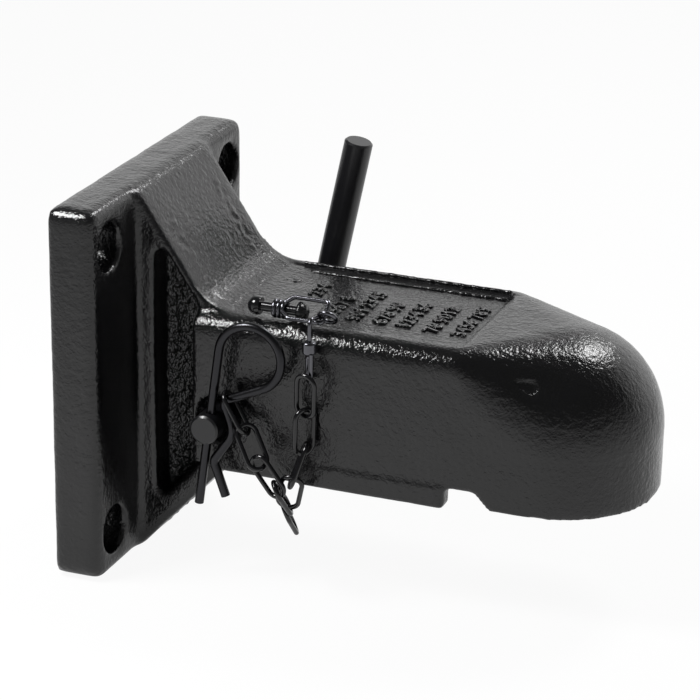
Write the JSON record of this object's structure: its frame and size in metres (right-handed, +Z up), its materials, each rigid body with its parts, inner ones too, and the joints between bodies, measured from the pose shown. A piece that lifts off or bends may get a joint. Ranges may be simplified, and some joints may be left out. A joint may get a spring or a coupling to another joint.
{
  "type": "trailer coupler",
  "caption": "Cast trailer coupler with a bolt-on flange, a ball socket, a turning lock bar with a bent handle, and a hairpin held by a small chain.",
  "frame": {"origin": "centre of the flange's back face, in the middle of the four bolts", "axes": "+X forward from the flange to the nose, +Z up, -Y towards the hairpin and +Y towards the handle"},
  "size_m": [0.2421, 0.153, 0.165],
  "materials": {
    "cast_black": "gloss black enamel over a rough sand-cast surface",
    "bar_black": "satin black",
    "hairpin_steel": "dark satin spring steel",
    "chain_black": "gloss black",
    "keeper_iron": "machined and oiled",
    "inner_steel": "plain steel"
  },
  "bodies": {
    "housing": {"coupler_casting": "cast_black", "chain_stud": "chain_black", "keeper_spring": "inner_steel"},
    "lock": {"lock_pin": "bar_black", "cam_arm": "inner_steel", "cam_roll_pin": "inner_steel", "crank_pin": "inner_steel"},
    "keeper": {"ball_keeper": "keeper_iron", "spring_rod": "inner_steel", "rod_washer": "inner_steel", "rod_cotter": "inner_steel"},
    "safety_pin": {"hairpin": "hairpin_steel"},
    "chain_bow": {"swivel_bow": "chain_black"},
    "chain_hook": {"swivel_hook": "chain_black"},
    "chain_swivel": {"swivel_eye": "chain_black"},
    "chain": {"chain_link_1": "chain_black", "chain_link_2": "chain_black", "chain_link_3": "chain_black", "chain_link_4": "chain_black", "chain_link_5": "chain_black", "chain_link_6": "chain_black", "chain_link_7": "chain_black", "chain_link_spare": "chain_black", "clip_link": "chain_black"}
  },
  "joints": [
    {"name": "lock_turn", "type": "hinge", "parent": "housing", "child": "lock", "pos_m": [0.0616, 0, -0.0122], "axis": [0, 1, 0], "range_deg": [0, 60], "stiffness_Nm_per_rad": 0.35, "springref_deg": -28.65},
    {"name": "keeper_slide", "type": "slide", "parent": "housing", "child": "keeper", "axis": [-1, 0, 0], "range_m": [0, 0.012], "deforming": ["keeper_spring"]},
    {"name": "hairpin_pull", "type": "slide", "parent": "lock", "child": "safety_pin", "axis": [0.1323, 0, 0.9912], "range_m": [0, 0.043], "deforming": ["hairpin", "chain_link_1", "chain_link_2", "chain_link_3", "chain_link_4", "chain_link_5", "chain_link_6", "chain_link_7", "chain_link_spare", "clip_link"]},
    {"name": "bow_lift", "type": "hinge", "parent": "housing", "child": "chain_bow", "pos_m": [0.087, -0.036, 0.0383], "axis": [-1, 0, 0], "range_deg": [0, 60]},
    {"name": "hook_swing", "type": "hinge", "parent": "chain_bow", "child": "chain_hook", "pos_m": [0.10955, -0.03969, 0.03891], "axis": [-1, 0, 0], "range_deg": [0, 25]},
    {"name": "swivel_turn", "type": "hinge", "parent": "chain_hook", "child": "chain_swivel", "pos_m": [0.1052, -0.0487, 0.0282], "axis": [0, 0, 1], "continuous": true},
    {"name": "chain_swing", "type": "hinge", "parent": "chain_hook", "child": "chain", "pos_m": [0.1052, -0.0524, 0.0152], "axis": [-0.9273, 0, -0.3743], "range_deg": [0, 15]}
  ],
  "couplings": [
    {"joint": "keeper_slide", "follows": "lock_turn", "m_per_rad": 0.01145}
  ]
}
